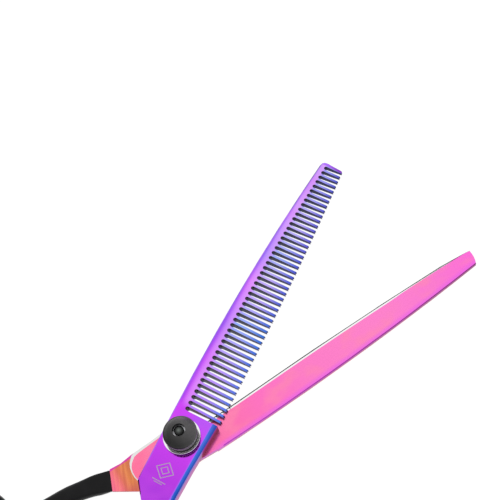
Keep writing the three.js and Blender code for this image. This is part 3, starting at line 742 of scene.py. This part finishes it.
def paint_zones(bm, names, zone):
    """Material index of each face, by the zone function, among the zone names."""
    for face in bm.faces:
        face.material_index = names.index(zone(face.normal, face.calc_center_median()))


MARK_PLACE = (-11.7, -0.9)      # middle of the plain mark on the comb half's plate
MARK_DEPTH = 0.05
MARK_LINE = 0.28
LOZENGE_CORNERS = 4
LOZENGE_STRETCH = 1.15          # width of a lozenge against its length


def lozenge(radius):
    points = []
    for k in range(LOZENGE_CORNERS):
        a = 2 * math.pi * k / LOZENGE_CORNERS
        points.append((MARK_PLACE[0] + radius * math.cos(a),
                       MARK_PLACE[1] + LOZENGE_STRETCH * radius * math.sin(a)))
    return points


def mark_cutters(top):
    """A plain engraved mark: two nested lozenge lines, with two short bars under them."""
    low, high = top - MARK_DEPTH, top + 1
    frames = []
    for radius in (2.9, 1.5):
        outer = to_object("mark_frame", prism(lozenge(radius), low, high))
        inner = prism(lozenge(radius - 1.4 * MARK_LINE), low - 1, high + 1)
        boolean(outer, to_object("mark_inner", inner))
        frames.append(outer)
    for offset, half in ((3.7, 2.4), (4.3, 1.5)):
        x = MARK_PLACE[0] - offset
        corners = [(x + dx * MARK_LINE / 2, MARK_PLACE[1] + dy * half)
                   for dx, dy in ((-1, -1), (1, -1), (1, 1), (-1, 1))]
        frames.append(to_object("mark_bar", prism(corners, low, high)))
    return frames


def comb_blade():
    zones = {
        "face": violet_face(), "slot": slot_wall(), "bevel": blue_bevel(), "wall": plate_wall(),
        "side": violet_side(), "mark": bare_steel("mark_steel", COMB, (190, 168, 196), 0.35),
        "light": violet_corner()}
    bm = cad_shape("comb_blade", COMB)
    top = max(vertex.co.z for vertex in bm.verts)
    paint_zones(bm, VIOLET_ZONES, comb_zone)
    piece = to_object("violet_comb_blade", bm, [zones[name] for name in VIOLET_ZONES])
    break_corners(piece, 0.07, material=VIOLET_ZONES.index("light"))
    for cutter in mark_cutters(top):
        cutter.data.materials.clear()
        cutter.data.materials.append(zones["mark"])
        boolean(piece, cutter)
    finish_piece(piece, COMB, "comb_half", ["comb_blade"])


# ---- cutting blade -----------------------------------------------------------------------------

PINK_ZONES = ("face", "hone", "spine", "outer", "shank", "ground", "light")
HOLLOW_DEPTH = 0.11
SHANK_DROP = 0.2
# Back edge of the raised half-moon, from the plate's outer side to under the comb half, and how
# wide the ground slope below it is at each place.
HALF_MOON = [
    (-4.0, 5.6, 1.2), (-6.4, 5.53, 1.2), (-11.5, 5.22, 1.2), (-14.3, 5.02, 1.3), (-15.85, 4.66, 1.1),
    (-17.45, 3.3, 0.8), (-18.25, 2.1, 0.5), (-18.65, 0.6, 0.36), (-18.7, -1.0, 0.3),
    (-18.4, -2.55, 0.3), (-17.6, -4.6, 0.3), (-16.4, -6.4, 0.3), (-15.3, -7.6, 0.3), (-14.2, -9.6, 0.3)]


def hone_line(x):
    width = HONE_WIDTH * (1 - 0.35 * smoothstep(x, 80, 90))
    return cut_edge_y(x) - width * (1 - smoothstep(x, 106, 112))


def hollow_cutter(material):
    """The shallow hollow grind of the inner face, from the hone strip to the spine."""
    rings = []
    along, across = 40, 8
    for i in range(along + 1):
        x = HONE_START + (CUT_TIP_X - RICASSO_X) * i / along
        high_y = hone_line(x)
        low_y = polynomial(CUT_BACK_LINE, x) - 0.2
        run_in = 0.2 + 0.8 * smoothstep(x, HONE_START, HONE_START + 6.5)
        ring = []
        for k in range(across + 1):
            u = k / across
            depth = HOLLOW_DEPTH * run_in * 4 * u * (1 - u)
            ring.append((x, high_y + (low_y - high_y) * u, 0.004 - depth))
        ring += [(x, low_y, 1.0), (x, high_y, 1.0)]
        rings.append(ring)
    return to_object("hollow", loft(rings), [material])


def shank_cutter(floor, slope):
    """Lowers the shank behind the half-moon and leaves a ground slope along its edge."""
    upper, lower = [], []
    count = len(HALF_MOON)
    for i, (x, y, width) in enumerate(HALF_MOON):
        before = Vector(HALF_MOON[max(0, i - 1)][:2])
        after = Vector(HALF_MOON[min(count - 1, i + 1)][:2])
        along = (after - before).normalized()
        outwards = Vector((along.y, -along.x))
        if outwards.dot(Vector((x + 10, y)).normalized()) < 0:
            outwards = -outwards
        upper.append(Vector((x, y)) - outwards * 0.03)
        lower.append(Vector((x, y)) + outwards * width)
    bm = bmesh.new()
    far_top, far_low = (-4.0, 14.0), (-14.2, -16.0)
    back_top, back_low = (-29.5, 14.0), (-29.5, -16.0)

    def row(points, z_at):
        return [bm.verts.new((p[0], p[1], z_at(p))) for p in points]

    def floor_z(p):
        """Deepest next to the slope, nearly level with the handle's top at the joint."""
        return -SHANK_DROP * smoothstep(p[0], -28.0, -20.0) - 0.02

    crest = row(upper, lambda p: 0.01)
    foot = row(lower, floor_z)
    rim = row([far_top, back_top, back_low, far_low], floor_z)
    roof = row([*upper, far_low, back_low, back_top, far_top], lambda p: 1.0)
    for i in range(count - 1):
        bm.faces.new((crest[i], crest[i + 1], foot[i + 1], foot[i])).material_index = 1
    bm.faces.new([*foot, *reversed(rim)])
    for i in range(count - 1):
        bm.faces.new((crest[i], crest[i + 1], roof[i + 1], roof[i]))
    bm.faces.new((crest[-1], foot[-1], rim[3], roof[count], roof[count - 1]))
    for k in range(3):
        bm.faces.new((rim[3 - k], rim[2 - k], roof[count + 1 + k], roof[count + k]))
    bm.faces.new((rim[0], foot[0], crest[0], roof[0], roof[count + 3]))
    bm.faces.new(roof)
    bmesh.ops.triangulate(bm, faces=bm.faces)
    bmesh.ops.recalc_face_normals(bm, faces=bm.faces)
    return to_object("shank_step", bm, [floor, slope])


def cutting_zone(normal, centre):
    x, y, z = centre
    if normal.z > 0.9:
        return "hone" if x > HONE_START else "face"
    if abs(y - cut_edge_y(x)) < 0.4 and x > RICASSO_X and z > -0.5:
        return "light"
    if y < 0 and normal.y < -0.5:
        return "spine"
    if x < -5 and normal.z > -0.5:
        return "spine"
    return "outer"


def bevel_edges(bm, chosen, width, segments, material):
    """Bevels only the chosen edges and gives the new faces a material index."""
    edges = [edge for edge in bm.edges if chosen(edge)]
    bmesh.ops.bevel(bm, geom=edges, offset=width, segments=segments, profile=0.5,
                    affect="EDGES", clamp_overlap=True, material=material)


def cutting_blade():
    zones = {
        "face": pink_face(), "hone": hone_steel(), "spine": spine_coating(),
        "outer": outer_grind(), "shank": shank_coating(),
        "ground": bare_steel("ground_steel", CUTTING, (240, 240, 238), 0.2),
        # The edge steel is painted shade: near black on the micro-bevel along the cutting edge.
        "light": bare_steel("edge_steel_painted_shade", CUTTING, (34, 40, 38), 0.3)}
    bm = cad_shape("cutting_blade", CUTTING)
    everything = [*bm.verts, *bm.edges, *bm.faces]
    bmesh.ops.bisect_plane(bm, geom=everything, plane_co=(HONE_START, 0, 0), plane_no=(1, 0, 0))
    paint_zones(bm, PINK_ZONES, cutting_zone)

    def inner_rim(edge, beyond):
        """Whether an edge of the blade's inner face lies where beyond(point) holds at both ends."""
        ends = [vertex.co for vertex in edge.verts]
        return all(abs(p.z) < 0.01 and p.x > RICASSO_X and beyond(p) for p in ends)

    def on_back(edge):
        return inner_rim(edge, lambda p: p.y < polynomial(CUT_BACK_LINE, p.x) + 0.3)

    def on_edge(edge):
        return inner_rim(edge, lambda p: p.y > cut_edge_y(p.x) - 0.1 and HONE_START - 0.1 < p.x < 112)

    bevel_edges(bm, on_back, 0.3, 3, PINK_ZONES.index("spine"))
    piece = to_object("pink_cutting_blade", bm, [zones[name] for name in PINK_ZONES])
    boolean(piece, hollow_cutter(zones["face"]))
    boolean(piece, shank_cutter(zones["shank"], zones["ground"]))
    bm = bmesh.new()
    bm.from_mesh(piece.data)
    bmesh.ops.remove_doubles(bm, verts=bm.verts, dist=1e-3)
    # The micro-bevel along the cutting edge takes the near-black edge steel as painted shade.
    bevel_edges(bm, on_edge, 0.2, 1, PINK_ZONES.index("light"))
    bm.to_mesh(piece.data)
    bm.free()
    break_corners(piece, 0.05, angle=30)
    finish_piece(piece, CUTTING, "cutting_half", ["cutting_blade"])


# ---- handles -----------------------------------------------------------------------------------

JOINT_MIDDLE = Vector((-25.6, 2.385, 0))    # middle of the line where the black coating starts
JOINT_TURN = math.radians(-21.45)           # that line's lean away from square
MIRROR_LINE = math.radians(4.4)             # middle line between the two handles
FRONT_GAP = 0.05                            # between the shank and the handle's front face


def joint_plane(side):
    """A point on the handle's front face and the direction from it towards the blade."""
    if side == CUTTING:
        return JOINT_MIDDLE, Vector((math.cos(JOINT_TURN), math.sin(JOINT_TURN), 0))
    along = Vector((math.cos(MIRROR_LINE), math.sin(MIRROR_LINE), 0))
    place = along * 2 * JOINT_MIDDLE.dot(along) - JOINT_MIDDLE
    turn = 2 * MIRROR_LINE - JOINT_TURN
    return place, Vector((math.cos(turn), math.sin(turn), 0))


def handle(node, name, side, coating):
    """The cast handle: one flowing skin, with a crisp front face against the shank."""
    bm = cad_shape(node, side)
    place, ahead = joint_plane(side)
    longer = 2.0
    for vertex in bm.verts:
        if (vertex.co - place).dot(ahead) > -0.12:
            vertex.co += ahead * longer
    piece = to_object(name, bm, [coating])
    remesh(piece, 0.36)
    taubin(piece.data, 24)
    box = bmesh.new()
    box_size = 24
    bmesh.ops.create_cube(box, size=box_size)
    aimed = ahead.to_track_quat("X", "Z").to_matrix().to_4x4()
    box.transform(Matrix.Translation(place + ahead * (box_size / 2 - FRONT_GAP)) @ aimed)
    boolean(piece, to_object("front_cut", box, [coating]))
    finish_piece(piece, side, BODY[side], [node], smooth=50)


def smooth_rod(node, name, side, coating, voxel, rounds):
    piece = to_object(name, cad_shape(node, side), [coating])
    remesh(piece, voxel)
    taubin(piece.data, rounds)
    finish_piece(piece, side, BODY[side], [node], smooth=60)


def ring_insert(node, name, side, rubber):
    """Soft ring inside a finger ring: a bead round its middle and a thin lip at each side."""
    low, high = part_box(node)
    centre = (low + high) / 2
    half_high = (high.z - low.z) / 2 / MM
    outer = (high.x - low.x) / 2 / MM
    thickness = 2.15
    inner = outer - thickness
    ring_middle = inner + 1.5 + 2.3     # middle of the metal ring's section
    hug_radius, hug_half_height = 2.45, 2.75
    wall = []
    for k in range(-8, 9):
        z = 0.72 * half_high * k / 8
        wall.append((ring_middle - hug_radius * math.sqrt(1 - (z / hug_half_height) ** 2), z))
    bore = []
    for k in range(10, -11, -1):
        z = half_high * 0.86 * k / 10
        ripple = 0.07 * math.cos(k * math.pi / 2) if abs(k) < 9 else 0.0
        flare = 0.75 * (abs(k) / 10) ** 3
        bore.append((inner + flare + ripple, z))
    lip = inner + 1.0
    profile = [*wall, (lip, half_high), *bore, (lip, -half_high)]
    bm = turned(profile, 128, closed=True)
    flat = row_matrix(side).inverted() @ centre
    bmesh.ops.translate(bm, verts=bm.verts, vec=flat)
    piece = to_object(name, bm, [rubber])
    finish_piece(piece, side, BODY[side], [node], smooth=60)


# ---- pivot stack -------------------------------------------------------------------------------

def stack_box(node):
    """A turned node's outer radius and its lowest and highest z above the meeting plane."""
    low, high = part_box(node)
    return (high.x - low.x) / 2 / MM, low.z / MM - MEET_Z, high.z / MM - MEET_Z


KNURL_FROM = 4.9            # radius inside which nothing is knurled
KNURL_TOP = 7.75            # height where the knurl ends
KNURL_DEPTH = 0.16
KNOB_TRIM = 0.2             # how much slimmer the finished knob is than its CAD shape
WASHER_GROWTH = 0.25        # and how much wider the bright washer
SHOULDER = 8.3              # height of the knob's widest part above the meeting plane
SHOULDER_ROUND = 0.45       # height of the rounding below it
SKIRT_LEAN = 0.35           # how much narrower the knob's foot is
FOOT_HEIGHT = 0.3           # plain band below the flank


def knurl(depth, low, high, count=30, lean=0.95):
    """Two crossing families of ridges round the knob's flank, fading out at their ends."""
    def offset(radius, height, turn):
        if not low <= height <= high or radius < KNURL_FROM:
            return 0.0
        fade = smoothstep(height, low, low + 0.25) * smoothstep(-height, -high, -high + 0.25)
        lift = lean * 2 * math.pi * (height - low)
        waves = [abs(math.sin((count * turn + sign * lift) / 2)) for sign in (-1, 1)]
        return -depth * fade * (1 - max(waves) ** 6)
    return offset


def knob_profile(rim, low, high):
    """Closed profile of the knob: knurled flank, shoulder, ringed cone, lip and hollow inside."""
    skirt = rim - SKIRT_LEAN
    flank_low = low + FOOT_HEIGHT
    flank_high = SHOULDER - SHOULDER_ROUND
    flank = [(skirt - 0.2, low), (skirt, low + 0.2)]
    rows = 26
    for k in range(rows + 1):
        t = k / rows
        flank.append((skirt + (rim - skirt) * t, flank_low + (flank_high - low - FOOT_HEIGHT) * t))
    shoulder_arc = []
    for k in range(1, 6):
        a = math.pi / 2 * k / 6
        shoulder_arc.append((rim - 0.3 * (1 - math.cos(a)), flank_high + SHOULDER_ROUND * math.sin(a)))
    cone = []
    cone_start, cone_end = (rim - 0.45, SHOULDER + 0.06), (2.7, high - 0.1)
    steps = 54
    for k in range(steps + 1):
        t = k / steps
        ring = 0.012 * math.sin(2 * math.pi * 9 * t)
        bulge = 0.16 * math.sin(math.pi * t)
        cone.append((cone_start[0] + (cone_end[0] - cone_start[0]) * t,
                     cone_start[1] + (cone_end[1] - cone_start[1]) * t + bulge + ring))
    lip = [(2.5, high - 0.04), (2.36, high), (2.2, high - 0.01), (2.08, high - 0.08), (2.04, high - 0.5)]
    bore, pocket, hollow = 2.28, 3.46, 4.6      # radii inside the knob, from its top down
    pocket_low, pocket_high = 5.67, 8.55
    inside = [(bore, high - 0.7), (bore, pocket_high), (pocket, pocket_high),
              (pocket, pocket_low), (hollow, pocket_low), (hollow, low)]
    return flank + shoulder_arc + cone + lip + inside


def tension_knob(coating):
    radius, low, high = stack_box("tension_knob")
    rim = radius - KNOB_TRIM
    flank_high = SHOULDER - SHOULDER_ROUND
    slope = SKIRT_LEAN / (flank_high - low - FOOT_HEIGHT)
    knurled = knurl_coating(slope, rim - slope * flank_high, low)
    ridges = knurl(KNURL_DEPTH, low + 0.35, KNURL_TOP)
    bm = turned(knob_profile(rim, low, high), 312, ridges, closed=True)
    for face in bm.faces:
        centre = face.calc_center_median()
        reach = math.hypot(centre.x, centre.y)
        # Faces inside the recess take the darker knurl finish as painted shade.
        if reach < 2.12 or (centre.z < 7.95 and reach > KNURL_FROM - 0.1):
            face.material_index = 1
    piece = to_object("knurled_tension_knob", bm, [coating, knurled])
    finish_piece(piece, 0, "knob", ["tension_knob"], smooth=40)


def end_stop(coating):
    """Domed screw end with a fine edge, in the knob's recess."""
    radius, low, high = stack_box("end_stop")
    dome = [(0, high)]
    for k in range(1, 17):
        a = math.pi / 2 * k / 16
        dome.append((radius * math.sin(a), high - 0.6 + 0.6 * math.cos(a)))
    base = [(radius, high - 0.85), (radius - 0.12, high - 1.05), (1.0, high - 1.1), (1.0, low), (0, low)]
    piece = to_object("domed_end_stop", turned(dome + base), [coating])
    finish_piece(piece, 0, "cutting_half", ["end_stop"], smooth=40)


def flat_ring(node, name, inner, growth, body, material, corner=0.1):
    """A flat ring with rounded corners; growth widens it past the CAD's radius."""
    outer, low, high = stack_box(node)
    outer += growth
    profile = [(inner, low), (outer, low), (outer, high), (inner, high)]
    bm = turned(rounded(profile, corner), 128, closed=True)
    piece = to_object(name, bm, [material])
    finish_piece(piece, 0, body, [node], smooth=35)


def disc_spring(steel):
    """Cone spring that follows the click plate as the knob turns."""
    outer, low, high = stack_box("disc_spring")
    inner, thick = 2.6, 0.22
    profile = [(inner, high - thick), (outer, low), (outer, low + thick), (inner, high)]
    bm = turned(rounded(profile, 0.05), closed=True)
    piece = to_object("cone_spring", bm, [steel])
    piece.data.transform(row_matrix(0))
    piece.data.shade_smooth()
    piece.data.set_sharp_from_angle(angle=math.radians(35))
    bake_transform(piece)
    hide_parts("disc_spring")


def fitted_copy(node, name, side, material, corner, segments=3):
    """A small fitting: the CAD shape with properly rounded corners."""
    piece = to_object(name, cad_shape(node, side), [material])
    break_corners(piece, corner, segments, angle=40)
    finish_piece(piece, side, BODY[side], [node], smooth=35)


def paint_frame_node(node, material):
    shown = frame["nodes"][node]
    shown.data.materials.clear()
    shown.data.materials.append(material)


# ---- stage -------------------------------------------------------------------------------------

def floor():
    bm = bmesh.new()
    bmesh.ops.create_grid(bm, x_segments=1, y_segments=1, size=3.0)
    s = Shader("lit_white_floor", 0, metallic=0.0, roughness=0.9)
    s.paint(s.mix(s.noise(0.002), (70, 70, 70), (80, 80, 80)))
    s.set("Emission Color", (1.0, 1.0, 1.0, 1.0))
    s.set("Emission Strength", 0.96)
    made = to_object("floor", bm, [s.material])
    made.location.z = cad_box[0].z - 0.05 * MM


def soft_world():
    """Even pale light; what shiny faces see is bright above and greyer towards the horizon."""
    world = bpy.data.worlds.new("soft_studio")
    bpy.context.scene.world = world
    world.use_nodes = True
    tree = world.node_tree
    tree.nodes.clear()
    output = tree.nodes.new("ShaderNodeOutputWorld")
    background = tree.nodes.new("ShaderNodeBackground")
    place = tree.nodes.new("ShaderNodeTexCoord")
    split = tree.nodes.new("ShaderNodeSeparateXYZ")
    ramp = tree.nodes.new("ShaderNodeValToRGB")
    path = tree.nodes.new("ShaderNodeLightPath")
    mix = tree.nodes.new("ShaderNodeMix")
    mix.data_type = "RGBA"
    stops = ramp.color_ramp.elements
    stops[0].position = 0.0
    stops[0].color = (0.55, 0.55, 0.56, 1)
    stops[1].position = 0.6
    stops[1].color = (1, 1, 1, 1)
    tree.links.new(place.outputs["Generated"], split.inputs[0])
    tree.links.new(split.outputs[2], ramp.inputs["Fac"])
    tree.links.new(path.outputs["Is Glossy Ray"], mix.inputs[0])
    mix.inputs[6].default_value = (0.98, 0.98, 0.98, 1)
    tree.links.new(ramp.outputs["Color"], mix.inputs[7])
    tree.links.new(mix.outputs[2], background.inputs["Color"])
    tree.links.new(background.outputs["Background"], output.inputs["Surface"])


def area_light(name, place, target, size, power):
    """A soft light that shiny surfaces do not mirror."""
    light = bpy.data.lights.new(name, "AREA")
    light.size = size
    light.energy = power
    made = bpy.data.objects.new(name, light)
    made.location = place
    made.rotation_euler = (Vector(target) - Vector(place)).to_track_quat("-Z", "Y").to_euler()
    made.visible_glossy = False
    bpy.context.scene.collection.objects.link(made)


# Where the camera stands, what it looks at and how it is rolled, in millimetres in the row frame
CAMERA_PLACE = Vector((-40.97, -115.05, 310.24))
CAMERA_TARGET = Vector((64.211, 31.47, 5.0))
CAMERA_ROLL = math.radians(12.888)
LENS = 73.37                    # with the default 36 mm sensor


def camera():
    data = bpy.data.cameras.new("camera")
    data.lens = LENS
    made = bpy.data.objects.new("camera", data)
    aim = (CAMERA_TARGET - CAMERA_PLACE).to_track_quat("-Z", "Y").to_matrix()
    roll = Matrix.Rotation(-CAMERA_ROLL, 3, "Z")
    made.matrix_world = Matrix.Translation(CAMERA_PLACE * MM) @ (aim @ roll).to_4x4()
    bpy.context.scene.collection.objects.link(made)
    bpy.context.scene.camera = made


def build():
    coating = satin_black()
    rubber = soft_rubber()
    steel = turned_metal("turned_steel_finish", (196, 196, 200), 0.28)
    bright = washer_finish(stack_box("pressure_washer")[2])
    bronze = turned_metal("bush_bronze_finish", (196, 150, 88), 0.3)
    knob_black = knob_coating()
    comb_blade()
    cutting_blade()
    handle("finger_handle", "finger_ring_handle", CUTTING, coating)
    handle("thumb_handle", "thumb_ring_handle", COMB, coating)
    smooth_rod("finger_rest", "curved_finger_rest", CUTTING, coating, 0.24, 20)
    ring_insert("finger_ring_insert", "finger_ring_sleeve", CUTTING, rubber)
    ring_insert("thumb_ring_insert", "thumb_ring_sleeve", COMB, rubber)
    fitted_copy("finger_rest_washer", "rest_washer", CUTTING, rubber, 0.2)
    fitted_copy("bumper", "rubber_bumper", COMB, rubber, 0.45, 4)
    fitted_copy("pivot_screw", "flat_head_pivot_screw", CUTTING, steel, 0.08)
    flat_ring("pressure_washer", "bright_pressure_washer", 2.3, WASHER_GROWTH, "cutting_half",
              bright)
    tension_knob(knob_black)
    end_stop(dome_painted_highlight_coating())
    disc_spring(steel)
    for node in ("click_plate", "tension_nut", "bumper_stud"):
        paint_frame_node(node, steel)
    white = polymer("white_polymer_finish", (228, 224, 212), (240, 238, 230))
    black = polymer("black_polymer_finish", (14, 14, 15), (24, 24, 25))
    paint_frame_node("thrust_washer", white)
    paint_frame_node("slip_washer", black)
    paint_frame_node("pivot_bush", bronze)


build()
floor()
soft_world()
area_light("key", (-0.35, 0.25, 0.7), (0.03, 0, 0), 0.6, 1.5)
camera()
bpy.context.scene.view_settings.view_transform = "Standard"
